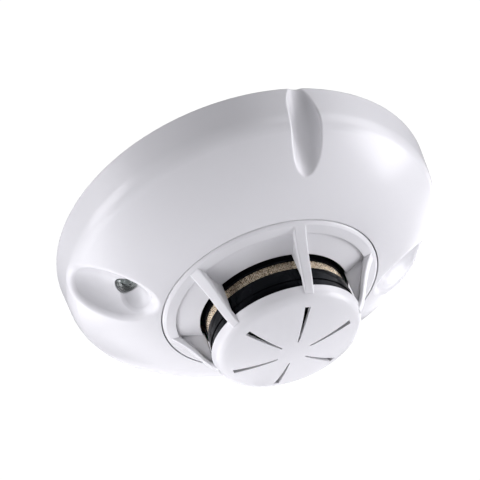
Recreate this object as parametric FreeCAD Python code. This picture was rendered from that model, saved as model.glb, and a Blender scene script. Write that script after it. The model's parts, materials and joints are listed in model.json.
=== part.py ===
import FreeCAD
import Part
import math
import os

# A round ceiling detector: a mounting base, a twist-in head under a white dome cover, and a
# six-rib cage that twists out of the head. Millimetres. +Z is up, towards the ceiling, and the
# origin is the centre of the base's ceiling face, so the whole detector hangs below z = 0.
# Rib and slot directions start at 30 degrees; the two status lights lie on the X axis and the
# two finger grooves on the Y axis.

# ---- dome cover ----
RIM_R = 51.0
RIM_Z = -0.3
SHOULDER_R = 49.8
SHOULDER_Z = -9.8
SHOULDER_BLEND = 2.4
FACE_BULGE = 3.45
MOUTH_R = 29.0
MOUTH_Z = -22.0
WALL = 2.0
COLLAR_R = 31.2
COLLAR_TOP = -16.4
BOSS_R = 3.0            # posts that take the housing screws
BOSS_TOP = -12.4
PILOT_R = 1.12
PILOT_LOW = -15.3

# ---- status light scoops, each a spheroid sunk into the face ----
SCOOP_R = 43.1
SCOOP_Z = -19.7
SCOOP_HALF_LENGTH = 14.7
SCOOP_RADIUS = 8.5
SCOOP_TILT = 32.6
SCOOP_WALL = 1.6
CUP_R = 36.2            # a round cup in each scoop, about the lens
CUP_Z = -18.1
CUP_RADIUS = 5.0
CUP_BLEND = 2.0
SCOOP_BLEND = 2.0

# ---- finger grooves, each a round cutter along the shoulder ----
GROOVE_TIP_R = 39.4
GROOVE_TIP_Z = -17.8
GROOVE_TOP_R = 50.75
GROOVE_RADIUS = 3.5
GROOVE_WALL = 1.6
GROOVE_BLEND = 0.6
GROOVE_LENGTH = 45.0
GROOVE_RUN_OUT = 10.0

# ---- cage ----
RIBS = 6
FIRST_RIB = 30.0
RING_R = 28.7
RING_FLOOR_R = 19.7
CAP_R = 19.5
CAP_TOP = -34.25
CAP_LOW = -39.8
CAP_WALL = 1.0
CAP_SIDE_HEIGHT = 1.2
CAP_SIDE_DRAFT = 0.35
CAP_ROUND_WIDTH = 3.1
CAP_ROUND_HEIGHT = 2.15
RIB_WIDTH_RING = 3.3
RIB_WIDTH_CAP = 2.3
RIB_TOP = -21.7
RIB_LOW = -37.0
RIB_BLEND = 0.35
RIB_SHOULDER = (26.1, -24.6)        # (radius, z) points down a rib's outer side
RIB_WAIST = (22.9, -29.9)
RIB_SHIN = (20.4, -34.5)
RIB_FOOT = (18.9, -36.3)
RIB_BACK_HIGH = (24.0, -25.2)       # and up its inner side
RIB_BACK_WAIST = (22.3, -28.4)
RIB_BACK_SHIN = (20.0, -33.0)
RIB_BACK_FOOT = (17.8, -35.6)
WEB_THICK = 1.2
WEB_R = 19.3
WEB_TOP = -24.2
WEB_SINK = 0.5          # how deep the web's edge lies inside the rib's bar
SLOT_OUTER_R = 15.6
SLOT_INNER_R = 4.3
SLOT_OUTER_W = 0.8
SLOT_INNER_W = 0.3
SLOT_FLARE = 1.4        # how much wider a slot is where it opens inside the cap
SLOT_FLARE_HEIGHT = 4.0
RING_TOP = -21.0
RING_LIP_LOW = -21.9
RING_LIP_BEVEL = 0.3
BAND_OUTER_R = 27.8
BAND_OUTER_Z = -22.6
BAND_INNER_R = 25.5
BAND_INNER_Z = -23.2
BAND_STEP_Z = -22.5
RING_FLOOR_TOP = -23.4
RING_FLOOR_LOW = -24.7
CAGE_SKIRT_R = 27.0
CAGE_SKIRT_WALL = 1.2
CAGE_SKIRT_TOP = -17.0
CAGE_LUG_R = 28.6
CAGE_LUG_TOP = -17.2
CAGE_LUG_LOW = -18.7

# ---- bayonets ----
BAYONET_SIDES = 3
CAGE_LEDGE_R = 27.3
CAGE_LEDGE_TOP = -18.9
CAGE_LEDGE_LOW = -20.3
CAGE_STOP_TOP = -17.2
HEAD_LEDGE_R = 38.8
HEAD_STOP_TOP = -3.8
HEAD_FIRST_LUG = 90.0
CAGE_FIRST_LUG = 30.0
LUG_ANGLE = 20.0
LEDGE_ANGLE = 22.0
STOP_ANGLE = 2.0
JOIN = 0.5              # how far fused pieces run into one another

# ---- mounting base ----
BASE_R = 46.0
BASE_PLATE = 2.0
BASE_LOW = -7.2
BASE_WALL_R = 43.0
BASE_WALL = 1.8
LEDGE_TOP = -5.8
CABLE_R = 12.0
CABLE_COLLAR = 1.6
CABLE_COLLAR_LOW = -3.6
BRACE_THICK = 1.2
BRACE_LOW = -3.2
SLOT_SPACING = 60.0
FIXING_SLOT_R = 2.25
FIXING_SLOT_LENGTH = 12.0
FIXING_LIP = 1.4
FIXING_LIP_LOW = -3.0
BACK_RECESS = 0.8
SEAL_OUTER_R = 41.0
SEAL_INNER_R = 38.0
POCKET_OUTER_R = 36.0
POCKET_INNER_R = 17.0
BACK_POCKETS = 8
BACK_POCKET_ANGLE = 22.0

# ---- terminals ----
TERMINALS = 4
FIRST_TERMINAL = 45.0
TERMINAL_SCREW_R = 31.0
STRIP_TOP = -3.6
STRIP_THICK = 0.8
STRIP_WIDTH = 7.5
STRIP_NEAR = 24.6
STRIP_FAR = 34.8
SEAT_MARGIN = 1.2
SEAT_WALL = 1.0
SEAT_WALL_HEIGHT = 1.4
LEAF_R = 22.5
LEAF_WIDTH = 5.0
LEAF_THICK = 0.5
LEAF_BEND_R = 2.6
LEAF_BEND_Z = -3.1
SCREW_R = 1.5
SCREW_TOP = -0.6
SCREW_HEAD_R = 2.75
SCREW_HEAD_HEIGHT = 1.8
SCREW_CROSS = 3.2
SCREW_CLEARANCE = 0.1
SCREW_WELL_R = 3.0
SCREW_WELL_TOP = -0.4
CLAMP_TOP = -4.45
CLAMP_THICK = 0.8
CLAMP_HALF = 3.45
CLAMP_LIP = 0.4
CLAMP_LIP_DROP = 0.7

# ---- chassis and circuit board ----
CHASSIS_R = 44.4
CHASSIS_TOP = -9.4
CHASSIS_LOW = -10.9
SPIGOT_R = 38.5
SPIGOT_WALL = 1.8
SPIGOT_TOP = -3.9
STIFFENER_R = 16.0
STIFFENER_WALL = 1.2
STIFFENER_HEIGHT = 1.2
HOLLOW_GAP = 0.4        # air between the cover's hollows and the chassis
POCKET_TOP = -8.2       # the closed rooms behind the status lights
POCKET_R = 4.4
POCKET_WALL = 1.0
POCKET_NEAR = 29.0
POCKET_FAR = 37.0
LUG_R = 40.9
LUG_LOW = -5.6
BOARD_R = 38.0
BOARD_TOP = -12.2
BOARD_LOW = -13.8
HOUSING_SCREW_R = 40.7
HOUSING_BOSS_R = 3.1
HOUSING_BOSS_LOW = -12.35
HOUSING_HEAD_WELL_R = 2.5
HOUSING_SHANK_HOLE_R = 1.25
BOARD_SCREW_R = 34.0
BOARD_SCREW_FIRST = 90.0
BOARD_POST_R = 2.6
BOARD_SHANK_R = 0.9
BOARD_PILOT_R = 0.92
BLADE_TOP = -5.95
BLADE_THICK = 0.6
BLADE_WIDTH = 3.6
BLADE_HALF = 2.4
BLADE_FOOT = 3.0
BLADE_PIN = 1.0
BLADE_BEND = 0.4
PIN_SLOT = 1.4
PIN_HOLE_R = 0.8

# ---- status lights ----
LIGHT_R = 36.0
LIGHT_Z = -12.4
LIGHT_TILT = 15.0
LENS_R = 2.6
LENS_AHEAD = 0.2
LENS_BEHIND = 2.45
FLANGE_R = 3.0
FLANGE_THICK = 0.9
LIGHT_FIT = 0.2
LEAD_R = 0.25
LEAD_TOP = -9.5
LEAD_SPACING = 2.54
LEAD_FOOT_R = 27.5
LEAD_TAIL = 0.8         # how far a lead stands out of the board
HOLE_FIT = 0.1

# ---- sensing chamber ----
CHAMBER_R = 18.7
CHAMBER_WALL = 1.3
SCREEN_TOP = -25.8
SCREEN_LOW = -28.3
SCREEN_R = 18.4
SCREEN_THICK = 0.25
CHAMBER_LOW = -34.0
STEP_TOP = -30.4
STEP_LOW = -31.7
EMITTER_AZ = 210.0
DIODE_AZ = 330.0
PLATE_THICK = 1.6
FLOOR_THICK = 1.4
STEP_OUT = 0.25
PEG_R = 1.0
PEG_AT = 11.5
SCREEN_SEAT = 0.9       # how deep the screen sits in each groove
SCREEN_FIT = 0.05
OPTICS_Z = -20.2
OPTICS_R = 2.5
OPTICS_LENGTH = 5.9
OPTICS_BACK = 14.9
OPTICS_LEAD_AT = 16.4
HOLDER_NEAR = 6.5
HOLDER_WIDTH = 7.6
HOLDER_DEPTH = 4.0
BAFFLE_LOW = -24.4
VANE_THICK = 0.8
VANE_ANGLE = 48.0
VANE_HOOK_ANGLE = 70.0
VANE_NEAR = 11.6
VANE_FAR = 17.0
VANE_HOOK_R = 13.0
VANE_PLACES = 18
THERMISTOR_COLUMN_R = 14.2
THERMISTOR_POST_R = 2.4
THERMISTOR_Z = -35.5
THERMISTOR_R = 1.1
THERMISTOR_NOSE = 6.0
THERMISTOR_LENGTH = 4.0
THERMISTOR_LEADS = 0.8

# ---- parts on the board ----
CHIP_AT = 24.0
CHIP_HEIGHT = 1.75
CHIP_WIDTH = 3.9
CHIP_PITCH = 1.27
CAN_R = 2.5
CAN_HEIGHT = 5.4
CAN_AT = 22.0
REED_R = 1.0
REED_LENGTH = 12.0
REED_AT = 33.5

AXIS = FreeCAD.Vector(0, 0, 1)
CENTRE = FreeCAD.Vector(0, 0, 0)
SEAM = 18.0     # where turned surfaces close, clear of every rib, scoop and groove


def turn(shape, azimuth):
    """A copy turned about the detector's axis."""
    copy = shape.copy()
    copy.rotate(CENTRE, AXIS, azimuth)
    return copy


def round_about(shape, count, first):
    """Copies of a shape drawn along +X, evenly round the axis."""
    return [turn(shape, first + 360.0 * i / count) for i in range(count)]


def cylinder(r, high, low, x=0.0, y=0.0):
    return Part.makeCylinder(r, high - low, FreeCAD.Vector(x, y, low))


def tube(r_out, r_in, high, low):
    return cylinder(r_out, high, low).cut(cylinder(r_in, high + 1, low - 1))


def sector(r_out, r_in, high, low, middle, angle):
    """A piece of a tube, centred on a direction."""
    start = FreeCAD.Vector(0, 0, low)
    whole = Part.makeCylinder(r_out, high - low, start, AXIS, angle)
    ring = whole.cut(cylinder(r_in, high + 1, low - 1))
    return turn(ring, middle - angle / 2)


def block(r_near, r_far, width, high, low):
    """A box along +X from one radius to another."""
    corner = FreeCAD.Vector(r_near, -width / 2, low)
    return Part.makeBox(r_far - r_near, width, high - low, corner)


def stadium(x_near, x_far, r, high, low):
    """A round-ended block along +X between two end centres."""
    middle = block(x_near, x_far, 2 * r, high, low)
    return middle.fuse([cylinder(r, high, low, x_near), cylinder(r, high, low, x_far)])


def spin(wire):
    """Turns a closed outline in the XZ plane round the axis, with its seam at SEAM."""
    solid = Part.Face(wire).revolve(CENTRE, AXIS, 360)
    return turn(solid, SEAM)


def revolve(corners):
    """The same from (radius, z) corners."""
    points = [FreeCAD.Vector(r, 0, z) for r, z in corners]
    return spin(Part.makePolygon(points + points[:1]))


def bent_wire(points, r):
    """A round wire through straight runs, with a ball at each bend."""
    corners = [FreeCAD.Vector(*p) for p in points]
    runs = [Part.makeCylinder(r, (b - a).Length, a, b - a) for a, b in zip(corners, corners[1:])]
    balls = [Part.makeSphere(r, c) for c in corners[1:-1]]
    return runs[0].fuse(runs[1:] + balls)


def clean(shape):
    """Merges faces left split by a boolean."""
    return shape.removeSplitter()


def save(name, shape):
    shape.exportStep(os.path.join("parts", name + ".step"))


# ---------------------------------------------------------------- dome cover


def mix(a, b, share):
    return (a[0] + (b[0] - a[0]) * share, a[1] + (b[1] - a[1]) * share)


def crossing(a, b, c, d):
    """Where the line through a and b meets the line through c and d."""
    ux, uz = b[0] - a[0], b[1] - a[1]
    vx, vz = d[0] - c[0], d[1] - c[1]
    share = ((c[0] - a[0]) * vz - (c[1] - a[1]) * vx) / (ux * vz - uz * vx)
    return (a[0] + ux * share, a[1] + uz * share)


def curve(*poles):
    """A Bezier edge in the radius-height plane."""
    bezier = Part.BezierCurve()
    bezier.setPoles([FreeCAD.Vector(r, 0, z) for r, z in poles])
    return bezier.toShape()


def dome_edges(rim, shoulder, mouth, bulge):
    """The dome's outline from rim to mouth: skirt, rounded shoulder, convex face."""
    length = math.dist(shoulder, mouth)
    normal = ((shoulder[1] - mouth[1]) / length, (mouth[0] - shoulder[0]) / length)
    middle = mix(shoulder, mouth, 0.5)
    pull = (middle[0] + normal[0] * bulge, middle[1] + normal[1] * bulge)
    skirt_end = mix(shoulder, rim, SHOULDER_BLEND / math.dist(shoulder, rim))
    share = SHOULDER_BLEND / (2 * math.dist(shoulder, pull))
    near, far = mix(shoulder, pull, share), mix(pull, mouth, share)
    face_start = mix(near, far, share)
    corner = crossing(rim, shoulder, near, far)
    skirt = Part.LineSegment(FreeCAD.Vector(rim[0], 0, rim[1]),
                             FreeCAD.Vector(skirt_end[0], 0, skirt_end[1])).toShape()
    return [skirt, curve(skirt_end, corner, face_start), curve(face_start, far, mouth)]


def dome_solid(inset, top):
    """The solid under the dome's outline, moved in by inset, from its mouth up to top."""
    rim = (RIM_R - inset, RIM_Z)
    slope = math.atan2(SHOULDER_Z - MOUTH_Z, SHOULDER_R - MOUTH_R)
    lift = inset / math.cos(slope)
    shoulder_r = SHOULDER_R - inset
    shoulder_z = SHOULDER_Z - inset * math.tan(slope) + lift
    shoulder = (shoulder_r, shoulder_z)
    mouth = (MOUTH_R, MOUTH_Z + lift)
    edges = dome_edges(rim, shoulder, mouth, FACE_BULGE)
    outline = [(mouth[0], mouth[1]), (0, mouth[1]), (0, top), (rim[0], top), rim]
    points = [FreeCAD.Vector(r, 0, z) for r, z in outline]
    closing = [Part.LineSegment(a, b).toShape() for a, b in zip(points, points[1:])
               if a.distanceToPoint(b) > 1e-6]
    return spin(Part.Wire(edges + closing))


def scoop(grow):
    """The spheroid that hollows one status light scoop, made larger by grow."""
    half, r = SCOOP_HALF_LENGTH + grow, SCOOP_RADIUS + grow
    ellipse = Part.Ellipse(CENTRE, half, r)
    upper = ellipse.toShape(0, math.pi)
    diameter = Part.LineSegment(FreeCAD.Vector(-half, 0, 0), FreeCAD.Vector(half, 0, 0))
    face = Part.Face(Part.Wire([upper, diameter.toShape()]))
    solid = face.revolve(CENTRE, FreeCAD.Vector(1, 0, 0), 360)
    solid.rotate(CENTRE, FreeCAD.Vector(0, 1, 0), -SCOOP_TILT)
    solid.translate(FreeCAD.Vector(SCOOP_R, 0, SCOOP_Z))
    return solid


def groove(grow):
    """The round bar that hollows one finger groove, made larger by grow."""
    run = FreeCAD.Vector(GROOVE_TOP_R - GROOVE_TIP_R, 0, -GROOVE_TIP_Z).normalize()
    out = FreeCAD.Vector(run.z, 0, -run.x)
    tip = FreeCAD.Vector(GROOVE_TIP_R, 0, GROOVE_TIP_Z)
    start = tip + out * GROOVE_RADIUS - run * GROOVE_RUN_OUT
    return Part.makeCylinder(GROOVE_RADIUS + grow, GROOVE_LENGTH, start, run)


def cup(grow):
    """The ball that deepens a scoop round its lens, made larger by grow."""
    return Part.makeSphere(CUP_RADIUS + grow, FreeCAD.Vector(CUP_R, 0, CUP_Z))


def hollows(scoop_grow, groove_grow):
    """Both scoops, with their cups, and both grooves, for cutting."""
    lights = round_about(scoop(scoop_grow), 2, 0) + round_about(cup(scoop_grow), 2, 0)
    return lights + round_about(groove(groove_grow), 2, 90)


def shared_edges(body, first, second):
    """The edges of body that lie on the skins of both other solids."""
    found = []
    for edge in body.Edges:
        if not edge.Degenerated:
            low, high = edge.ParameterRange
            middle = Part.Vertex(edge.valueAt((low + high) / 2))
            if all(skin.Shells[0].distToShape(middle)[0] < 1e-3 for skin in (first, second)):
                found.append(edge)
    return found


def outer_skin():
    """The dome's outside as a solid, with every hollow blended into the face."""
    body = dome_solid(0, RIM_Z)
    for azimuth in (0, 180):
        ball, spheroid = turn(cup(0), azimuth), turn(scoop(0), azimuth)
        hollow = clean(spheroid.fuse(ball))
        hollow = hollow.makeFillet(CUP_BLEND, shared_edges(hollow, ball, spheroid))
        cut = clean(body.cut(hollow))
        body = cut.makeFillet(SCOOP_BLEND, shared_edges(cut, body, hollow))
    for azimuth in (90, 270):
        bar = turn(groove(0), azimuth)
        cut = clean(body.cut(bar))
        edges = [e for e in shared_edges(cut, body, bar) if e.BoundBox.ZMin < RIM_Z - 0.1]
        body = cut.makeFillet(GROOVE_BLEND, edges)
    return body


def light_axis():
    """The way a status light points: down, and a little outwards."""
    tilt = math.radians(LIGHT_TILT)
    return FreeCAD.Vector(math.sin(tilt), 0, -math.cos(tilt))


def light_bar(r, ahead, behind):
    """A round bar on the axis of the status light on +X."""
    axis = light_axis()
    start = FreeCAD.Vector(LIGHT_R, 0, LIGHT_Z) - axis * behind
    return Part.makeCylinder(r, ahead + behind, start, axis)


def bayonet_ledges(r_out, r_in, ledge_top, ledge_low, stop_top, first):
    """Three ledges, each with a stop that ends the locking turn."""
    ledge = sector(r_out, r_in, ledge_top, ledge_low, 0, LEDGE_ANGLE)
    stop_at = LEDGE_ANGLE / 2 + STOP_ANGLE / 2 - 0.1
    stop = sector(r_out, r_in, stop_top, ledge_low, stop_at, STOP_ANGLE)
    return round_about(ledge.fuse(stop), BAYONET_SIDES, first)


def dome_cover():
    outer = outer_skin()
    inner = dome_solid(WALL, RIM_Z).cut(hollows(SCOOP_WALL, GROOVE_WALL))
    collar = tube(COLLAR_R, MOUTH_R, COLLAR_TOP, MOUTH_Z - 1)
    boss = cylinder(BOSS_R, BOSS_TOP, MOUTH_Z, HOUSING_SCREW_R)
    bosses = round_about(boss, TERMINALS, FIRST_TERMINAL)
    inside = collar.fuse(bosses).common(outer)
    shell = outer.cut(inner).fuse(inside)
    shell = shell.cut(cylinder(MOUTH_R, 0, MOUTH_Z - 1))
    ledges = bayonet_ledges(MOUTH_R + JOIN, CAGE_LEDGE_R, CAGE_LEDGE_TOP, CAGE_LEDGE_LOW,
                            CAGE_STOP_TOP, CAGE_FIRST_LUG)
    shell = shell.fuse(ledges)
    pilots = round_about(cylinder(PILOT_R, 0, PILOT_LOW, HOUSING_SCREW_R), TERMINALS, FIRST_TERMINAL)
    light_holes = round_about(light_bar(LENS_R + LIGHT_FIT, CUP_RADIUS, CUP_RADIUS), 2, 0)
    flange_low = LENS_BEHIND - FLANGE_THICK - HOLE_FIT
    flange_rooms = round_about(light_bar(FLANGE_R + LIGHT_FIT, -flange_low, CUP_RADIUS), 2, 0)
    return clean(shell.cut(pilots + light_holes + flange_rooms))


# ---------------------------------------------------------------- cage


def cap_outline(inset):
    """The cap's skin from its top edge to the axis: side, rounded edge, shallow dome."""
    r, low = CAP_R - inset, CAP_LOW + inset
    side_end = (r - CAP_SIDE_DRAFT, CAP_TOP - CAP_SIDE_HEIGHT)
    round_end = (r - CAP_ROUND_WIDTH, low + CAP_ROUND_HEIGHT)
    pull = (round_end[0] / 2, low)
    corner = crossing((r, CAP_TOP), side_end, round_end, pull)
    side = Part.LineSegment(FreeCAD.Vector(r, 0, CAP_TOP),
                            FreeCAD.Vector(side_end[0], 0, side_end[1])).toShape()
    face = curve(round_end, pull, (0, low))
    return [side, curve(side_end, corner, round_end), face]


def cap_solid(inset):
    low = CAP_LOW + inset
    axis_line = Part.LineSegment(FreeCAD.Vector(0, 0, low), FreeCAD.Vector(0, 0, CAP_TOP))
    top_line = Part.LineSegment(FreeCAD.Vector(0, 0, CAP_TOP),
                                FreeCAD.Vector(CAP_R - inset, 0, CAP_TOP))
    return spin(Part.Wire(cap_outline(inset) + [axis_line.toShape(), top_line.toShape()]))


def slot_outline(wider, z):
    """The outline of a wedge-shaped air slot along +X, widest at its outer end."""
    out, inn = (SLOT_OUTER_W + wider) / 2, (SLOT_INNER_W + wider) / 2
    corners = [(SLOT_INNER_R, -inn), (SLOT_OUTER_R, -out), (SLOT_OUTER_R, out), (SLOT_INNER_R, inn)]
    points = [FreeCAD.Vector(x, y, z) for x, y in corners]
    return Part.makePolygon(points + points[:1])


def cap_slot():
    """An air slot that flares as it goes up through the cap's wall."""
    high = CAP_LOW + SLOT_FLARE_HEIGHT
    straight = Part.Face(slot_outline(0, CAP_LOW - 1)).extrude(FreeCAD.Vector(0, 0, 1))
    flare = Part.makeLoft([slot_outline(0, CAP_LOW), slot_outline(SLOT_FLARE, high)], True, True)
    return straight.fuse(flare)


def upright(corners, thick):
    """A plate in the radius-height plane, centred on +X, cut from (radius, z) corners."""
    points = [FreeCAD.Vector(r, -thick / 2, z) for r, z in corners]
    face = Part.Face(Part.makePolygon(points + points[:1]))
    return face.extrude(FreeCAD.Vector(0, thick, 0))


def smooth_bar(outer, inner, thick):
    """A bar along +X between two smooth sides, each drawn through (radius, z) points."""
    edges = []
    for side, following in ((outer, inner), (inner, outer)):
        ends = [FreeCAD.Vector(r, -thick / 2, z) for r, z in (side[-1], following[0])]
        spline = Part.BSplineCurve()
        spline.interpolate([FreeCAD.Vector(r, -thick / 2, z) for r, z in side])
        edges += [spline.toShape(), Part.LineSegment(*ends).toShape()]
    return Part.Face(Part.Wire(edges)).extrude(FreeCAD.Vector(0, thick, 0))


def rib():
    """One rib along +X: an outer bar with rounded edges that narrows towards the cap, on a thin web."""
    top, back_top = (RING_R - 0.2, RIB_TOP), (BAND_INNER_R, RIB_TOP)
    outer = [top, RIB_SHOULDER, RIB_WAIST, RIB_SHIN, RIB_FOOT]
    inner = [RIB_BACK_FOOT, RIB_BACK_SHIN, RIB_BACK_WAIST, RIB_BACK_HIGH, back_top]
    wide, narrow = RIB_WIDTH_RING / 2, RIB_WIDTH_CAP / 2
    front = [(-wide, RING_TOP), (wide, RING_TOP), (narrow, RIB_LOW), (-narrow, RIB_LOW)]
    points = [FreeCAD.Vector(0, y, z) for y, z in front]
    taper = Part.Face(Part.makePolygon(points + points[:1])).extrude(FreeCAD.Vector(RING_R + 1, 0, 0))
    bar = clean(smooth_bar(outer, inner, RIB_WIDTH_RING).common(taper))
    bar = bar.makeFillet(RIB_BLEND, [e for e in bar.Edges if e.Length > (RIB_TOP - RIB_LOW) / 2])
    sunk = [(r + WEB_SINK, z) for r, z in inner[1:-1]]
    web_corners = [(WEB_R, WEB_TOP), (BAND_INNER_R - JOIN, RIB_TOP)] + sunk[::-1]
    web_corners += [(RIB_BACK_FOOT[0] + JOIN, RIB_BACK_FOOT[1]), (WEB_R, CAP_TOP)]
    return bar.fuse(upright(web_corners, WEB_THICK))


def cage_ring():
    """The ring round the cage: a flat lip, a shallow band, a step and a sloped floor."""
    skirt_inner = CAGE_SKIRT_R - CAGE_SKIRT_WALL
    corners = [(RING_R, RING_TOP), (RING_R, RING_LIP_LOW),
               (RING_R - RING_LIP_BEVEL, RING_LIP_LOW - RING_LIP_BEVEL),
               (BAND_OUTER_R, BAND_OUTER_Z), (BAND_INNER_R, BAND_INNER_Z),
               (BAND_INNER_R - 0.2, BAND_STEP_Z), (RING_FLOOR_R, RING_FLOOR_LOW),
               (RING_FLOOR_R, RING_FLOOR_TOP), (skirt_inner - CAGE_SKIRT_WALL, RING_TOP),
               (skirt_inner, RING_TOP + 0.2), (skirt_inner, CAGE_SKIRT_TOP),
               (CAGE_SKIRT_R, CAGE_SKIRT_TOP), (CAGE_SKIRT_R, RING_TOP)]
    lug = sector(CAGE_LUG_R, CAGE_SKIRT_R - JOIN, CAGE_LUG_TOP, CAGE_LUG_LOW, 0, LUG_ANGLE)
    return revolve(corners).fuse(round_about(lug, BAYONET_SIDES, CAGE_FIRST_LUG))


def protective_cage():
    cap = cap_solid(0).cut(cap_solid(CAP_WALL))
    ribs = round_about(rib(), RIBS, FIRST_RIB)
    room = cap_solid(CAP_WALL)
    body = cage_ring().fuse(ribs + [cap]).cut(room)
    return clean(body.cut(round_about(cap_slot(), RIBS, FIRST_RIB)))


# ---------------------------------------------------------------- mounting base


def terminal_block():
    """The moulded seat of one terminal strip, along +X, with a low wall on each side."""
    near, far = STRIP_NEAR - 0.1, STRIP_FAR + 0.4
    seat = block(near, far, STRIP_WIDTH + 2 * SEAT_MARGIN, -BASE_PLATE, STRIP_TOP)
    wall = block(near, far, SEAT_WALL, STRIP_TOP, STRIP_TOP - SEAT_WALL_HEIGHT)
    offset = STRIP_WIDTH / 2 + SEAT_MARGIN - SEAT_WALL / 2
    walls = [wall.copy(), wall.copy()]
    walls[0].translate(FreeCAD.Vector(0, offset, 0))
    walls[1].translate(FreeCAD.Vector(0, -offset, 0))
    return seat.fuse(walls)


def mounting_base():
    plate = cylinder(BASE_R, 0, -BASE_PLATE)
    wall = tube(BASE_WALL_R, BASE_WALL_R - BASE_WALL, -BASE_PLATE, BASE_LOW)
    ledges = bayonet_ledges(BASE_WALL_R - 1, HEAD_LEDGE_R, LEDGE_TOP, BASE_LOW, HEAD_STOP_TOP,
                            HEAD_FIRST_LUG)
    entry = tube(CABLE_R + CABLE_COLLAR, CABLE_R, -BASE_PLATE, CABLE_COLLAR_LOW)
    blocks = round_about(terminal_block(), TERMINALS, FIRST_TERMINAL)
    half = FIXING_SLOT_LENGTH / 2 - FIXING_SLOT_R
    slot_x = SLOT_SPACING / 2
    lip = stadium(slot_x - half, slot_x + half, FIXING_SLOT_R + FIXING_LIP, -BASE_PLATE,
                  FIXING_LIP_LOW)
    brace = block(CABLE_R + 1, BASE_WALL_R - 1, BRACE_THICK, -BASE_PLATE, BRACE_LOW)
    braces = round_about(brace, 2, 90)
    body = plate.fuse([wall, entry] + ledges + blocks + round_about(lip, 2, 0) + braces)
    slot = stadium(slot_x - half, slot_x + half, FIXING_SLOT_R, 1, FIXING_LIP_LOW - 1)
    screw_hole = cylinder(SCREW_R + SCREW_CLEARANCE, 0, STRIP_TOP - 1, TERMINAL_SCREW_R)
    screw_hole = screw_hole.cut(cylinder(SCREW_WELL_R, 0, SCREW_WELL_TOP, TERMINAL_SCREW_R))
    seal_groove = tube(SEAL_OUTER_R, SEAL_INNER_R, 0, -BACK_RECESS)
    pocket = sector(POCKET_OUTER_R, POCKET_INNER_R, 0, -BACK_RECESS, 0, BACK_POCKET_ANGLE)
    pockets = round_about(pocket, BACK_POCKETS, 180.0 / BACK_POCKETS)
    cuts = round_about(slot, 2, 0) + round_about(screw_hole, TERMINALS, FIRST_TERMINAL) + pockets
    return clean(body.cut(cuts + [cylinder(CABLE_R, 1, CABLE_COLLAR_LOW - 1), seal_groove]))


def terminal_strip():
    """A plated strip along +X: flat under the clamp, with a humped spring leaf inboard."""
    low = STRIP_TOP - STRIP_THICK
    leaf_top = STRIP_TOP - STRIP_THICK + LEAF_THICK
    flat = block(STRIP_NEAR, STRIP_FAR, STRIP_WIDTH, STRIP_TOP, low)
    start, across = FreeCAD.Vector(LEAF_R, -LEAF_WIDTH / 2, LEAF_BEND_Z), FreeCAD.Vector(0, 1, 0)
    hump = Part.makeCylinder(LEAF_BEND_R, LEAF_WIDTH, start, across)
    hollow = Part.makeCylinder(LEAF_BEND_R - LEAF_THICK, LEAF_WIDTH, start, across)
    half = LEAF_BEND_R + 1
    below = block(LEAF_R - half, STRIP_NEAR + 0.2, LEAF_WIDTH, leaf_top, leaf_top - half)
    leaf = hump.cut(hollow).common(below)
    neck = block(STRIP_NEAR - 0.4, STRIP_NEAR + 0.4, LEAF_WIDTH, leaf_top, low)
    hole = cylinder(SCREW_R + SCREW_CLEARANCE, 0, low - 1, TERMINAL_SCREW_R)
    return clean(flat.fuse([leaf, neck]).cut(hole))


def terminal_clamp():
    """A square clamp plate with turned-up ends that keep the wire under it."""
    low = CLAMP_TOP - CLAMP_THICK
    near, far = TERMINAL_SCREW_R - CLAMP_HALF, TERMINAL_SCREW_R + CLAMP_HALF
    plate = block(near, far, 2 * CLAMP_HALF, CLAMP_TOP, low)
    ends = [block(near, near + CLAMP_LIP, 2 * CLAMP_HALF, low, low - CLAMP_LIP_DROP),
            block(far - CLAMP_LIP, far, 2 * CLAMP_HALF, low, low - CLAMP_LIP_DROP)]
    hole = cylinder(SCREW_R + SCREW_CLEARANCE, 0, low - 1, TERMINAL_SCREW_R)
    return clean(plate.fuse(ends).cut(hole))


def cross_recess(size, high, low):
    """A cross-shaped driver recess, centred on the axis."""
    bar = Part.makeBox(size, size / 4, high - low, FreeCAD.Vector(-size / 2, -size / 8, low))
    across = Part.makeBox(size / 4, size, high - low, FreeCAD.Vector(-size / 8, -size / 2, low))
    return bar.fuse(across)


def pan_screw(head_r, head_h, shank_r, under_head, shank_top, recess):
    """A screw on the axis with its head down and its shank up."""
    head = cylinder(head_r, under_head, under_head - head_h)
    rim = [e for e in head.Edges if e.BoundBox.ZMax < under_head - 0.1 and len(e.Vertexes) == 1]
    head = head.makeFillet(head_h * 0.45, rim)
    screw = head.fuse(cylinder(shank_r, shank_top, under_head))
    low = under_head - head_h
    return clean(screw.cut(cross_recess(recess, low + head_h * 0.6, low - 1)))


def terminal_screw():
    under_head = CLAMP_TOP - CLAMP_THICK - 0.05
    screw = pan_screw(SCREW_HEAD_R, SCREW_HEAD_HEIGHT, SCREW_R, under_head, SCREW_TOP, SCREW_CROSS)
    screw.translate(FreeCAD.Vector(TERMINAL_SCREW_R, 0, 0))
    return screw


# ---------------------------------------------------------------- head


def light_pocket(r, high, low):
    """The round-ended room behind a status light, on +X."""
    return stadium(POCKET_NEAR, POCKET_FAR, r, high, low)


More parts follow.
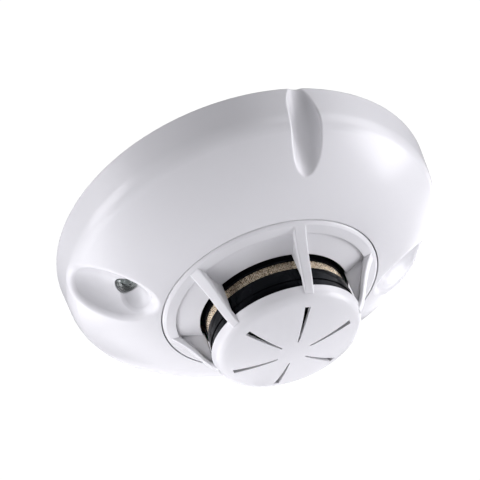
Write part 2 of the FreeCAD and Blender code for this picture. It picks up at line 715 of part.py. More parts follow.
def chassis():
    disc = cylinder(CHASSIS_R, CHASSIS_TOP, CHASSIS_LOW)
    spigot = tube(SPIGOT_R, SPIGOT_R - SPIGOT_WALL, SPIGOT_TOP, CHASSIS_TOP)
    lug = sector(LUG_R, SPIGOT_R - 1, SPIGOT_TOP, LUG_LOW, 0, LUG_ANGLE)
    lugs = round_about(lug, BAYONET_SIDES, HEAD_FIRST_LUG)
    screw_boss = cylinder(HOUSING_BOSS_R, CHASSIS_TOP, HOUSING_BOSS_LOW, HOUSING_SCREW_R)
    screw_bosses = round_about(screw_boss, TERMINALS, FIRST_TERMINAL)
    board_post = cylinder(BOARD_POST_R, CHASSIS_TOP, BOARD_TOP, BOARD_SCREW_R)
    board_posts = round_about(board_post, BAYONET_SIDES, BOARD_SCREW_FIRST)
    pockets = round_about(light_pocket(POCKET_R, POCKET_TOP, CHASSIS_LOW), 2, 0)
    stiffener = tube(STIFFENER_R, STIFFENER_R - STIFFENER_WALL, CHASSIS_TOP + STIFFENER_HEIGHT, CHASSIS_TOP)
    parts = [spigot, stiffener] + lugs + screw_bosses + board_posts + pockets
    body = disc.fuse(parts).cut(hollows(SCOOP_WALL + HOLLOW_GAP, GROOVE_WALL + HOLLOW_GAP))
    room = light_pocket(POCKET_R - POCKET_WALL, POCKET_TOP - HOLE_FIT * 8, CHASSIS_LOW - 1)
    cuts = round_about(room, 2, 0)
    for i in range(TERMINALS):
        azimuth = FIRST_TERMINAL + 360.0 * i / TERMINALS
        well = cylinder(HOUSING_HEAD_WELL_R, 0, CHASSIS_LOW, HOUSING_SCREW_R)
        hole = cylinder(HOUSING_SHANK_HOLE_R, 0, HOUSING_BOSS_LOW - 1, HOUSING_SCREW_R)
        pin_slot = block(LEAF_R - PIN_SLOT / 2, LEAF_R + PIN_SLOT / 2, PIN_SLOT, 0, CHASSIS_LOW - 1)
        cuts += [turn(cut, azimuth) for cut in (well, hole, pin_slot)]
    pilot = cylinder(BOARD_PILOT_R, CHASSIS_TOP - 0.5, BOARD_TOP - 1, BOARD_SCREW_R)
    cuts += round_about(pilot, BAYONET_SIDES, BOARD_SCREW_FIRST)
    return clean(body.cut(cuts))


def contact_blade():
    """A plated bridge on the chassis that meets one spring leaf, with a pin to the board."""
    near, far = LEAF_R - BLADE_HALF, LEAF_R + BLADE_HALF
    foot_top = CHASSIS_TOP + BLADE_THICK
    crown = block(near, far, BLADE_WIDTH, BLADE_TOP, BLADE_TOP - BLADE_THICK)
    legs = [block(near, near + BLADE_THICK, BLADE_WIDTH, BLADE_TOP, CHASSIS_TOP),
            block(far - BLADE_THICK, far, BLADE_WIDTH, BLADE_TOP, CHASSIS_TOP)]
    feet = [block(near + BLADE_THICK - BLADE_FOOT, near + BLADE_THICK, BLADE_WIDTH, foot_top, CHASSIS_TOP),
            block(far - BLADE_THICK, far - BLADE_THICK + BLADE_FOOT, BLADE_WIDTH, foot_top, CHASSIS_TOP)]
    pin = block(LEAF_R - BLADE_PIN / 2, LEAF_R + BLADE_PIN / 2, BLADE_PIN, BLADE_TOP - BLADE_THICK / 2,
                BOARD_LOW - 1.0)
    body = crown.fuse(legs + feet + [pin])
    edges = [e for e in body.Edges if abs(e.BoundBox.ZMin - BLADE_TOP) < 1e-6
             and e.BoundBox.YLength > BLADE_WIDTH - 0.1]
    return clean(body.makeFillet(BLADE_BEND, edges))


def housing_screw():
    head_r, head_height, shank_r, length = 2.2, 1.2, 1.1, 4.1
    screw = pan_screw(head_r, head_height, shank_r, 0, length, head_r)
    screw.rotate(CENTRE, FreeCAD.Vector(1, 0, 0), 180)
    screw.translate(FreeCAD.Vector(HOUSING_SCREW_R, 0, CHASSIS_LOW))
    return screw


def board_screw():
    head_r, head_height, shank_top = 2.0, 1.3, -10.2
    screw = pan_screw(head_r, head_height, BOARD_SHANK_R, BOARD_LOW, shank_top, head_r)
    screw.translate(FreeCAD.Vector(BOARD_SCREW_R, 0, 0))
    return screw


def board_hole(r, x, y=0.0):
    """A round hole right through the circuit board."""
    return cylinder(r, BOARD_TOP + 1, BOARD_LOW - 1, x, y)


def circuit_board():
    board = cylinder(BOARD_R, BOARD_TOP, BOARD_LOW)
    cuts = hollows(SCOOP_WALL + 1.5 * HOLLOW_GAP, GROOVE_WALL + 1.5 * HOLLOW_GAP)
    cuts += round_about(light_bar(LENS_R + 1.2, CUP_RADIUS, CUP_RADIUS), 2, 0)
    cuts += round_about(board_hole(HOUSING_BOSS_R + 0.7, HOUSING_SCREW_R), TERMINALS, FIRST_TERMINAL)
    cuts += round_about(board_hole(BOARD_SHANK_R + HOLE_FIT, BOARD_SCREW_R), BAYONET_SIDES,
                        BOARD_SCREW_FIRST)
    cuts += round_about(board_hole(PIN_HOLE_R, LEAF_R), TERMINALS, FIRST_TERMINAL)
    lead_hole_r = LEAD_R + HOLE_FIT
    cuts += [board_hole(lead_hole_r, THERMISTOR_COLUMN_R + x) for x in (-THERMISTOR_LEADS, THERMISTOR_LEADS)]
    for y in (-LEAD_SPACING / 2, LEAD_SPACING / 2):
        cuts += [turn(board_hole(lead_hole_r, LEAD_FOOT_R, y), side) for side in (0, 180)]
        cuts += [turn(board_hole(lead_hole_r, OPTICS_LEAD_AT, y), a) for a in (EMITTER_AZ, DIODE_AZ)]
    cuts += round_about(board_hole(PEG_R + HOLE_FIT / 2, PEG_AT), BAYONET_SIDES, BOARD_SCREW_FIRST)
    return clean(board.cut(cuts))


def chip(x, y, length, width, high, azimuth):
    """A plain chip body under the board."""
    corner = FreeCAD.Vector(x - length / 2, y - width / 2, BOARD_LOW - high)
    return turn(Part.makeBox(length, width, high, corner), azimuth)


def legged_chip(x, y, length, width, high, legs, azimuth):
    """A chip package and its gull-wing legs, as (package, legs)."""
    package = Part.makeBox(length, width, high - 0.15, FreeCAD.Vector(x - length / 2, y - width / 2,
                                                                      BOARD_LOW - high))
    rounded = package.makeChamfer(0.2, [e for e in package.Edges if e.BoundBox.ZLength < 0.01
                                        and e.BoundBox.ZMax < BOARD_LOW - high / 2])
    feet = []
    for i in range(legs):
        at = x + (i - (legs - 1) / 2) * CHIP_PITCH
        for side in (-1, 1):
            foot_y = y + side * (width / 2 + 0.6)
            foot = Part.makeBox(0.4, 1.0, 0.2, FreeCAD.Vector(at - 0.2, foot_y - 0.5, BOARD_LOW - 0.2))
            rise_y = y + side * (width / 2 + 0.15)
            rise = Part.makeBox(0.4, 0.3, high / 2, FreeCAD.Vector(at - 0.2, rise_y - 0.15,
                                                                  BOARD_LOW - high / 2))
            feet.append(foot.fuse(rise))
    return turn(rounded, azimuth), [turn(f, azimuth) for f in feet]


def led(azimuth):
    """A status light: clear lens with a domed end and a flange, turned to its side."""
    axis = light_axis()
    middle = FreeCAD.Vector(LIGHT_R, 0, LIGHT_Z)
    lens = light_bar(LENS_R, LENS_AHEAD, LENS_BEHIND)
    dome = Part.makeSphere(LENS_R, middle + axis * LENS_AHEAD)
    flange = Part.makeCylinder(FLANGE_R, FLANGE_THICK, middle - axis * LENS_BEHIND, axis)
    return turn(clean(lens.fuse([dome, flange])), azimuth)


def led_leads(azimuth):
    axis = light_axis()
    back = FreeCAD.Vector(LIGHT_R, 0, LIGHT_Z) - axis * LENS_BEHIND
    rise = back - axis * ((LEAD_TOP - back.z) / -axis.z)
    wires = []
    for y in (-LEAD_SPACING / 2, LEAD_SPACING / 2):
        route = [(back.x, y, back.z), (rise.x, y, rise.z), (LEAD_FOOT_R, y, LEAD_TOP),
                 (LEAD_FOOT_R, y, BOARD_LOW - LEAD_TAIL)]
        wires.append(turn(bent_wire(route, LEAD_R), azimuth))
    return Part.makeCompound(wires)


# ---------------------------------------------------------------- sensing chamber


def optics_bore(far):
    """The level bore for one optical part, from inside its holder out to a radius."""
    near = HOLDER_NEAR - JOIN
    return Part.makeCylinder(OPTICS_R + 0.05, far - near, FreeCAD.Vector(near, 0, OPTICS_Z),
                             FreeCAD.Vector(1, 0, 0))


def holder(azimuth):
    """The moulded block that holds one optical part, bored towards the chamber's middle."""
    far = CHAMBER_R - CHAMBER_WALL + 0.2
    body = block(HOLDER_NEAR, far, HOLDER_WIDTH, BOARD_LOW - 1.0, OPTICS_Z - HOLDER_DEPTH)
    leads = block(OPTICS_LEAD_AT - 1.0, OPTICS_LEAD_AT + 0.8, HOLDER_WIDTH - 3.4, 0, OPTICS_Z)
    return turn(body.cut([optics_bore(OPTICS_LEAD_AT + 1.6), leads]), azimuth)


def thermistor_holes():
    """The two holes down the column that the thermistor's leads run through."""
    return [cylinder(LEAD_R + 1.5 * HOLE_FIT, 0, CAP_LOW, THERMISTOR_COLUMN_R + x)
            for x in (-THERMISTOR_LEADS, THERMISTOR_LEADS)]


def screen_groove(high, low):
    """The narrow ring that holds one edge of the insect screen."""
    return tube(SCREEN_R + SCREEN_FIT, SCREEN_R - SCREEN_THICK - SCREEN_FIT, high, low)


def chamber_base():
    top = BOARD_LOW
    inner_r = CHAMBER_R - CHAMBER_WALL
    shell = tube(CHAMBER_R, inner_r, top, SCREEN_TOP)
    plate = cylinder(CHAMBER_R, top, top - PLATE_THICK)
    holders = [holder(a) for a in (EMITTER_AZ, DIODE_AZ)]
    baffle = turn(block(4.0, 15.0, 1.0, top - 1.0, BAFFLE_LOW), (EMITTER_AZ + DIODE_AZ) / 2)
    column = cylinder(THERMISTOR_POST_R, top - 1.0, SCREEN_TOP, THERMISTOR_COLUMN_R)
    pegs = round_about(cylinder(PEG_R, BOARD_TOP, top, PEG_AT), BAYONET_SIDES, BOARD_SCREW_FIRST)
    body = shell.fuse([plate, baffle, column] + holders + pegs)
    cuts = thermistor_holes()
    lead_hole_r = LEAD_R + 1.5 * HOLE_FIT
    for azimuth in (EMITTER_AZ, DIODE_AZ):
        for y in (-LEAD_SPACING / 2, LEAD_SPACING / 2):
            cuts.append(turn(cylinder(lead_hole_r, 0, OPTICS_Z, OPTICS_LEAD_AT, y), azimuth))
        cuts.append(turn(optics_bore(inner_r - 0.1), azimuth))
    return clean(body.cut(cuts + [screen_groove(SCREEN_TOP + SCREEN_SEAT + HOLE_FIT, SCREEN_TOP - 1)]))


def chamber_cover():
    """The lower half of the chamber: a cup with a step round it and a ring of light-trap vanes."""
    inner_r = CHAMBER_R - CHAMBER_WALL
    shell = tube(CHAMBER_R, inner_r, SCREEN_LOW, CHAMBER_LOW)
    floor = cylinder(CHAMBER_R, CHAMBER_LOW + FLOOR_THICK, CHAMBER_LOW)
    step = tube(CHAMBER_R + STEP_OUT, CHAMBER_R - JOIN, STEP_TOP, STEP_LOW)
    top = SCREEN_TOP - 0.1
    column = cylinder(THERMISTOR_POST_R, top, CHAMBER_LOW, THERMISTOR_COLUMN_R)
    body = shell.fuse([floor, step, column])
    long_leg = block(VANE_NEAR, VANE_FAR, VANE_THICK, top, CHAMBER_LOW)
    long_leg.rotate(FreeCAD.Vector((VANE_NEAR + VANE_FAR) / 2, 0, 0), AXIS, VANE_ANGLE)
    hook = long_leg.copy()
    hook.rotate(FreeCAD.Vector(16.0, 1.9, 0), AXIS, VANE_HOOK_ANGLE)
    inside = cylinder(inner_r + 0.2, top, CHAMBER_LOW)
    hook = hook.common(inside.cut(cylinder(VANE_HOOK_R, 0, CAP_LOW)))
    vane = long_leg.fuse(hook).common(inside)
    vanes = [turn(vane, 360.0 * i / VANE_PLACES) for i in range(2, VANE_PLACES - 1)]
    body = body.fuse(vanes)
    groove_low = SCREEN_LOW - SCREEN_SEAT - HOLE_FIT
    return clean(body.cut(thermistor_holes() + [screen_groove(SCREEN_LOW + 1, groove_low)]))


def insect_screen():
    """The fine mesh sleeve, as a thin closed ring held in a groove at each edge."""
    return tube(SCREEN_R, SCREEN_R - SCREEN_THICK, SCREEN_TOP + SCREEN_SEAT, SCREEN_LOW - SCREEN_SEAT)


def optical_part(azimuth):
    """A 5 mm lamp or diode lying in its holder, dome towards the chamber's middle."""
    inward = FreeCAD.Vector(-1, 0, 0)
    back = FreeCAD.Vector(OPTICS_BACK, 0, OPTICS_Z)
    body = Part.makeCylinder(OPTICS_R, OPTICS_LENGTH, back, inward)
    dome = Part.makeSphere(OPTICS_R, back + inward * OPTICS_LENGTH)
    return turn(clean(body.fuse(dome)), azimuth)


def optical_leads(azimuth):
    wires = []
    for y in (-LEAD_SPACING / 2, LEAD_SPACING / 2):
        route = [(OPTICS_BACK, y, OPTICS_Z), (OPTICS_LEAD_AT, y, OPTICS_Z),
                 (OPTICS_LEAD_AT, y, BOARD_TOP + LEAD_TAIL)]
        wires.append(turn(bent_wire(route, LEAD_R), azimuth))
    return wires


def thermistor_bead():
    nose_centre = FreeCAD.Vector(THERMISTOR_NOSE, 0, THERMISTOR_Z)
    body = Part.makeCylinder(THERMISTOR_R, THERMISTOR_LENGTH, nose_centre, FreeCAD.Vector(1, 0, 0))
    return clean(body.fuse(Part.makeSphere(THERMISTOR_R, nose_centre)))


def thermistor_leads():
    wires = []
    tail = THERMISTOR_NOSE + THERMISTOR_LENGTH
    for side in (-1, 1):
        post, y = THERMISTOR_COLUMN_R + side * THERMISTOR_LEADS, side * THERMISTOR_R / 2
        route = [(tail, y, THERMISTOR_Z), (post, y, THERMISTOR_Z), (post, 0, THERMISTOR_Z + 0.9),
                 (post, 0, BOARD_TOP + LEAD_TAIL)]
        wires.append(bent_wire(route, LEAD_R))
    return Part.makeCompound(wires)


# ---------------------------------------------------------------- write every sub-part

os.makedirs("parts", exist_ok=True)

save("dome_cover", dome_cover())
save("protective_cage", protective_cage())
save("mounting_base", mounting_base())
save("chassis", chassis())
save("circuit_board", circuit_board())

for i in range(TERMINALS):
    place = FIRST_TERMINAL + 360.0 * i / TERMINALS
    number = str(i + 1)
    save("terminal_strip_" + number, turn(terminal_strip(), place))
    save("terminal_clamp_" + number, turn(terminal_clamp(), place))
    save("terminal_screw_" + number, turn(terminal_screw(), place))
    save("contact_blade_" + number, turn(contact_blade(), place))

save("housing_screws", Part.makeCompound(round_about(housing_screw(), TERMINALS, FIRST_TERMINAL)))
save("board_screws", Part.makeCompound(round_about(board_screw(), BAYONET_SIDES, BOARD_SCREW_FIRST)))

for name, side in (("right", 0), ("left", 180)):
    save("status_light_" + name, led(side))
    save("status_light_leads_" + name, led_leads(side))

save("chamber_base", chamber_base())
save("chamber_cover", chamber_cover())
save("insect_screen", insect_screen())
save("infrared_emitter", optical_part(EMITTER_AZ))
save("photodiode", optical_part(DIODE_AZ))
save("optical_leads", Part.makeCompound(optical_leads(EMITTER_AZ) + optical_leads(DIODE_AZ)))
save("thermistor", thermistor_bead())
save("thermistor_leads", thermistor_leads())

controller, controller_legs = legged_chip(0, CHIP_AT, 9.9, CHIP_WIDTH, CHIP_HEIGHT, 7, 180)
save("microcontroller", controller)
rectifier, rectifier_legs = legged_chip(0, CHIP_AT, 4.7, CHIP_WIDTH, CHIP_HEIGHT, 2, 90)
save("bridge_rectifier", rectifier)
save("chip_legs", Part.makeCompound(controller_legs + rectifier_legs))

save("electrolytic_capacitor", turn(cylinder(CAN_R, BOARD_LOW, BOARD_LOW - CAN_HEIGHT, CAN_AT), 22))
resistors = [chip(CHIP_AT + 2.4 * (i % 2), 0, 1.0, 1.9, 0.55, 60 + 6 * (i // 2)) for i in range(10)]
save("chip_resistors", Part.makeCompound(resistors))
capacitors = [chip(CHIP_AT, 0, 1.3, 2.0, 1.2, 120 + 8 * i) for i in range(4)]
save("chip_capacitors", Part.makeCompound(capacitors))
reed_start = FreeCAD.Vector(REED_AT, -REED_LENGTH / 2, BOARD_LOW - REED_R - 0.3)
reed = Part.makeCylinder(REED_R, REED_LENGTH, reed_start, FreeCAD.Vector(0, 1, 0))
save("reed_switch", turn(reed, 112))
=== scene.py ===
import json
import math

import bpy
from mathutils import Matrix, Vector


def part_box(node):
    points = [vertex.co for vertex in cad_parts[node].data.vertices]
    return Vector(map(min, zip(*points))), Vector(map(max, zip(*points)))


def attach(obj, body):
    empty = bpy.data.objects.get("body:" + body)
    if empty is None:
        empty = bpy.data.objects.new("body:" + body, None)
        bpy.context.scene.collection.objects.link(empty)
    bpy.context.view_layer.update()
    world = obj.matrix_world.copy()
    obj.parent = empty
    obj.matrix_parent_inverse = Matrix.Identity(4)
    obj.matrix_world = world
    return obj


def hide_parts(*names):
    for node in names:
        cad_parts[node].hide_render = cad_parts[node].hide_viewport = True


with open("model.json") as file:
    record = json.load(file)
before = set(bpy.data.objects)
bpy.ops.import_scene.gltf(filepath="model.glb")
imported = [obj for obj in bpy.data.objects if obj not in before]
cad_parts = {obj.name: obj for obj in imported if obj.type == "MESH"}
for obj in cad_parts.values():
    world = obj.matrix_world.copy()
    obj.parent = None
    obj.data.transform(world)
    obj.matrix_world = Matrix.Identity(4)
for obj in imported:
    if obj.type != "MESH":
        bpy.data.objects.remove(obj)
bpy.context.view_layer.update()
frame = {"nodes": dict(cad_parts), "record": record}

# The detector hangs below z = 0 with its cage downwards, and the camera looks up at it from below.
# Every length is in metres.

# ---- camera: where it looks, from where, and how far it is rolled ----
VIEW_AZIMUTH = math.radians(63.41)
VIEW_ELEVATION = math.radians(37.27)
VIEW_ROLL = math.radians(-21.51)
VIEW_DISTANCE = 0.29564
VIEW_TARGET = Vector((-0.00383, -0.00281, -0.00444))
LENS_MM = 84.86

# ---- studio ----
FLOOR_DROP = 0.45
FLOOR_SIZE = 6.0
FLOOR_PALE = (0.60, 0.60, 0.61)
FLOOR_EVEN = 0.96               # how far the floor is evened out where the softboxes reach it unequally
SKY = (1.0, 1.0, 1.0)
SKY_STRENGTH = 1.05             # for the camera only: the sky itself lights nothing
LIGHT_TINT = (0.965, 0.955, 1.0)
SOFTBOX_DISTANCE = 0.8
SOFTBOX_SIZE = 0.45
# each softbox: name, azimuth and elevation in degrees, power in watts
SOFTBOXES = (
    ("right_key", 342, -20, 3.95),
    ("right_fill", 18, -20, 0.35),
    ("right_rim", 324, 12, 1.8),
    ("front_rim", 288, 12, 1.25),
    ("left_key", 180, 12, 2.85),
    ("left_low", 162, -20, 2.4),
    ("left_fill", 126, -20, 1.95),
    ("left_rim", 144, 12, 0.55),
    ("far_fill", 90, -20, 0.95),
    ("far_low", 54, -20, 0.7),
    ("far_rim", 72, 12, 0.75),
    ("back_rim", 36, 12, 1.05),
)
TOP_AZIMUTH = 60
TOP_ELEVATION = 58
TOP_POWER = 22.0
TOP_CONE = math.radians(9.5)
TOP_RADIUS = 0.05

# ---- woven screen ----
SCREEN_PITCH = 0.00041
SCREEN_WIRE_R = 0.00011
SCREEN_WAVE = 0.000095
WIRE_SIDES = 5

# ---- status lights ----
LENS_R = 0.0026
LIGHT_TILT = math.radians(15)
LEAD_FRAME_BACK = -0.00255      # how far behind the lens's centre the lead frame starts
LEAD_FRAME_THICK = 0.0005
BOND_WIRE_R = 0.00003

# ---- moulded edges ----
EDGE_ROUND = 0.00022


# ---------------------------------------------------------------- camera and studio


def add_to_scene(thing):
    bpy.context.scene.collection.objects.link(thing)
    return thing


def add_camera():
    data = bpy.data.cameras.new("camera")
    data.lens = LENS_MM
    data.sensor_width = 36.0
    data.clip_start = 0.01
    camera = add_to_scene(bpy.data.objects.new("camera", data))
    forward = Vector((math.cos(VIEW_AZIMUTH) * math.cos(VIEW_ELEVATION),
                      math.sin(VIEW_AZIMUTH) * math.cos(VIEW_ELEVATION),
                      math.sin(VIEW_ELEVATION)))
    level = forward.cross(Vector((0, 0, 1))).normalized()
    upright = level.cross(forward)
    right = level * math.cos(VIEW_ROLL) + upright * math.sin(VIEW_ROLL)
    true_up = right.cross(forward)
    turn = Matrix((right, true_up, -forward)).transposed()
    place = Matrix.Translation(VIEW_TARGET - forward * VIEW_DISTANCE)
    camera.matrix_world = place @ turn.to_4x4()
    bpy.context.scene.camera = camera


def bearing(azimuth, elevation):
    """A unit vector towards an azimuth and elevation in degrees."""
    turn, rise = math.radians(azimuth), math.radians(elevation)
    return Vector((math.cos(turn) * math.cos(rise), math.sin(turn) * math.cos(rise), math.sin(rise)))


def aim(light, place, toward):
    """Sets a light at a place so that it shines against the vector toward, unseen by the camera."""
    light.location = place
    light.rotation_euler = (-toward).to_track_quat("-Z", "Y").to_euler()
    light.visible_camera = False


def add_softbox(name, azimuth, elevation, power):
    """A square area light that faces the detector."""
    data = bpy.data.lights.new(name, "AREA")
    data.shape = "SQUARE"
    data.size = SOFTBOX_SIZE
    data.energy = power
    data.color = LIGHT_TINT
    light = add_to_scene(bpy.data.objects.new(name, data))
    toward = bearing(azimuth, elevation)
    aim(light, VIEW_TARGET + toward * SOFTBOX_DISTANCE, toward)


def add_top_light():
    """A snooted light from above that covers the mounting base and nothing beside it."""
    data = bpy.data.lights.new("top_snoot", "SPOT")
    data.energy = TOP_POWER
    data.color = LIGHT_TINT
    data.spot_size = TOP_CONE
    data.spot_blend = 0.25
    data.shadow_soft_size = TOP_RADIUS
    light = add_to_scene(bpy.data.objects.new("top_snoot", data))
    toward = bearing(TOP_AZIMUTH, TOP_ELEVATION)
    aim(light, toward * SOFTBOX_DISTANCE, toward)


def add_world():
    """A plain white backdrop for the camera that gives no light: the softboxes do all the lighting."""
    world = bpy.data.worlds.new("studio")
    bpy.context.scene.world = world
    world.use_nodes = True
    nodes, links = world.node_tree.nodes, world.node_tree.links
    dark = nodes["Background"]
    dark.inputs["Strength"].default_value = 0.0
    seen = nodes.new("ShaderNodeBackground")
    seen.inputs["Color"].default_value = (*SKY, 1)
    seen.inputs["Strength"].default_value = SKY_STRENGTH
    path = nodes.new("ShaderNodeLightPath")
    choose = nodes.new("ShaderNodeMixShader")
    links.new(path.outputs["Is Camera Ray"], choose.inputs["Fac"])
    links.new(dark.outputs["Background"], choose.inputs[1])
    links.new(seen.outputs["Background"], choose.inputs[2])
    links.new(choose.outputs["Shader"], nodes["World Output"].inputs["Surface"])


def add_floor():
    half = FLOOR_SIZE / 2
    mesh = bpy.data.meshes.new("floor")
    corners = [(x, y, -FLOOR_DROP) for x, y in ((-half, -half), (half, -half), (half, half), (-half, half))]
    mesh.from_pydata(corners, [], [(0, 1, 2, 3)])
    floor = add_to_scene(bpy.data.objects.new("floor", mesh))
    floor.data.materials.append(plain_floor())


# ---------------------------------------------------------------- materials


def shader_of(material):
    return material.node_tree.nodes["Principled BSDF"]


def new_material(name, colour, roughness, **sockets):
    """A Principled material with its constant values on the shader's own sockets."""
    material = bpy.data.materials.new(name)
    material.use_nodes = True
    inputs = shader_of(material).inputs
    inputs["Base Color"].default_value = (*colour, 1)
    inputs["Roughness"].default_value = roughness
    for socket, value in sockets.items():
        inputs[socket.replace("_", " ")].default_value = value
    return material


def noise(material, size, detail=2.0, stretch=(1, 1, 1)):
    """A noise pattern with blotches about size across, drawn out by stretch."""
    nodes, links = material.node_tree.nodes, material.node_tree.links
    place = nodes.new("ShaderNodeTexCoord")
    scale = nodes.new("ShaderNodeMapping")
    scale.inputs["Scale"].default_value = [1 / (size * s) for s in stretch]
    pattern = nodes.new("ShaderNodeTexNoise")
    pattern.inputs["Scale"].default_value = 1.0
    pattern.inputs["Detail"].default_value = detail
    links.new(place.outputs["Object"], scale.inputs["Vector"])
    links.new(scale.outputs["Vector"], pattern.inputs["Vector"])
    return pattern.outputs["Fac"]


def vary_colour(material, pattern, first, second, low=0.35, high=0.65):
    """Runs the base colour from first to second as the pattern goes from low to high."""
    nodes, links = material.node_tree.nodes, material.node_tree.links
    ramp = nodes.new("ShaderNodeValToRGB")
    ramp.color_ramp.elements[0].position = low
    ramp.color_ramp.elements[0].color = (*first, 1)
    ramp.color_ramp.elements[1].position = high
    ramp.color_ramp.elements[1].color = (*second, 1)
    links.new(pattern, ramp.inputs["Fac"])
    links.new(ramp.outputs["Color"], shader_of(material).inputs["Base Color"])


def vary_roughness(material, pattern, first, second, low=0.3, high=0.7):
    nodes, links = material.node_tree.nodes, material.node_tree.links
    spread = nodes.new("ShaderNodeMapRange")
    spread.inputs["From Min"].default_value = low
    spread.inputs["From Max"].default_value = high
    spread.inputs["To Min"].default_value = first
    spread.inputs["To Max"].default_value = second
    links.new(pattern, spread.inputs["Value"])
    links.new(spread.outputs["Result"], shader_of(material).inputs["Roughness"])


def bump(material, pattern, depth):
    """Raises the surface by the pattern times depth, on top of any bump already there."""
    nodes, links = material.node_tree.nodes, material.node_tree.links
    relief = nodes.new("ShaderNodeBump")
    relief.inputs["Strength"].default_value = 1.0
    relief.inputs["Distance"].default_value = depth
    links.new(pattern, relief.inputs["Height"])
    normal = shader_of(material).inputs["Normal"]
    if normal.is_linked:
        links.new(normal.links[0].from_socket, relief.inputs["Normal"])
    links.new(relief.outputs["Normal"], normal)


def soften_edges(material, radius):
    """Shades sharp edges as if they were rounded by radius, as a mould leaves them."""
    nodes, links = material.node_tree.nodes, material.node_tree.links
    rounding = nodes.new("ShaderNodeBevel")
    rounding.samples = 6
    rounding.inputs["Radius"].default_value = radius
    links.new(rounding.outputs["Normal"], shader_of(material).inputs["Normal"])


def plain_floor():
    """A pale matt floor, mostly an even brightness for the camera, and an ordinary one to the lights."""
    material = new_material("floor_pale", (0.83, 0.83, 0.84), 0.7)
    vary_colour(material, noise(material, 0.3), (0.82, 0.82, 0.83), (0.85, 0.85, 0.855))
    vary_roughness(material, noise(material, 0.05), 0.62, 0.76)
    nodes, links = material.node_tree.nodes, material.node_tree.links
    even = nodes.new("ShaderNodeEmission")
    even.inputs["Color"].default_value = (*FLOOR_PALE, 1)
    path = nodes.new("ShaderNodeLightPath")
    share = nodes.new("ShaderNodeMath")
    share.operation = "MULTIPLY"
    share.inputs[1].default_value = FLOOR_EVEN
    links.new(path.outputs["Is Camera Ray"], share.inputs[0])
    blend = nodes.new("ShaderNodeMixShader")
    links.new(share.outputs["Value"], blend.inputs["Fac"])
    links.new(shader_of(material).outputs["BSDF"], blend.inputs[1])
    links.new(even.outputs["Emission"], blend.inputs[2])
    links.new(blend.outputs["Shader"], nodes["Material Output"].inputs["Surface"])
    return material


def cover_white():
    """Glossy white ABS from a polished mould."""
    material = new_material("cover_white", (0.84, 0.84, 0.86), 0.26)
    vary_colour(material, noise(material, 0.02), (0.838, 0.838, 0.854), (0.850, 0.850, 0.866), 0.0, 1.0)
    vary_roughness(material, noise(material, 0.012, 2), 0.24, 0.28, 0.0, 1.0)
    soften_edges(material, EDGE_ROUND)
    bump(material, noise(material, 0.0012), 0.0000015)
    bump(material, noise(material, 0.00018, 3), 0.0000008)
    return material


def base_white():
    """White ABS with the fine grain of a spark-eroded mould."""
    material = new_material("base_white", (0.80, 0.80, 0.79), 0.5)
    vary_colour(material, noise(material, 0.01), (0.78, 0.78, 0.765), (0.82, 0.82, 0.81))
    vary_roughness(material, noise(material, 0.002, 4), 0.42, 0.6)
    soften_edges(material, EDGE_ROUND)
    bump(material, noise(material, 0.0003, 4), 0.00002)
    return material


def board_green():
    """Solder mask over a weave of glass cloth, lighter where copper lies under it."""
    material = new_material("board_green", (0.02, 0.13, 0.05), 0.28, Coat_Weight=0.3)
    nodes, links = material.node_tree.nodes, material.node_tree.links
    place = nodes.new("ShaderNodeTexCoord")
    cells = nodes.new("ShaderNodeTexVoronoi")
    cells.distance = "MANHATTAN"
    cells.feature = "F1"
    cells.inputs["Scale"].default_value = 190.0
    links.new(place.outputs["Object"], cells.inputs["Vector"])
    rings = nodes.new("ShaderNodeMath")
    rings.operation = "PINGPONG"
    rings.inputs[1].default_value = 0.16
    links.new(cells.outputs["Distance"], rings.inputs[0])
    vary_colour(material, rings.outputs["Value"], (0.012, 0.095, 0.035), (0.035, 0.2, 0.07), 0.07, 0.085)
    bump(material, rings.outputs["Value"], 0.00006)
    bump(material, noise(material, 0.0006), 0.000006)
    vary_roughness(material, noise(material, 0.003), 0.22, 0.36)
    return material


def clear_lens():
    """Clear epoxy of a cast lens, a little smoky."""
    material = new_material("clear_lens", (0.42, 0.47, 0.44), 0.03, Transmission_Weight=1.0, IOR=1.53)
    vary_colour(material, noise(material, 0.0012), (0.38, 0.43, 0.40), (0.46, 0.51, 0.48))
    bump(material, noise(material, 0.0009), 0.000006)
    return material


def metal(name, first, second, roughness, grain, stretch=(1, 1, 1)):
    """A plated metal with a grain that may be drawn out along one axis."""
    material = new_material(name, first, roughness, Metallic=1.0)
    vary_colour(material, noise(material, grain * 6), first, second)
    vary_roughness(material, noise(material, grain * 2, 3, stretch), roughness * 0.75, roughness * 1.35)
    bump(material, noise(material, grain, 2, stretch), grain * 0.02)
    return material


def chamber_black():
    """Glossy black plastic with faint handling marks; its specular tint paints a blue cast into its
    reflections.
    """
    # Specular_Tint is a painted reflection: it gives every reflection on the black plastic a bluish colour.
    material = new_material("chamber_black", (0.002, 0.002, 0.003), 0.12, Specular_IOR_Level=0.12,
                            Specular_Tint=(0.75, 0.88, 1.0, 1.0))
    vary_colour(material, noise(material, 0.005), (0.0015, 0.0015, 0.002), (0.0035, 0.0035, 0.0045))
    vary_roughness(material, noise(material, 0.0008, 4, (1, 1, 0.2)), 0.09, 0.16)
    bump(material, noise(material, 0.0006, 3), 0.0000015)
    return material


def tinted_epoxy():
    """Dark infrared-passing epoxy."""
    material = new_material("tinted_epoxy", (0.05, 0.03, 0.09), 0.06, Transmission_Weight=0.35, IOR=1.53)
    vary_colour(material, noise(material, 0.0015), (0.035, 0.02, 0.07), (0.07, 0.045, 0.12))
    bump(material, noise(material, 0.0005), 0.000002)
    return material


def moulded_epoxy():
    """Matt black chip packages."""
    material = new_material("black_epoxy", (0.018, 0.018, 0.019), 0.6)
    vary_colour(material, noise(material, 0.0004, 4), (0.012, 0.012, 0.013), (0.030, 0.030, 0.031))
    vary_roughness(material, noise(material, 0.0008, 3), 0.5, 0.72)
    bump(material, noise(material, 0.0001, 3), 0.00001)
    return material


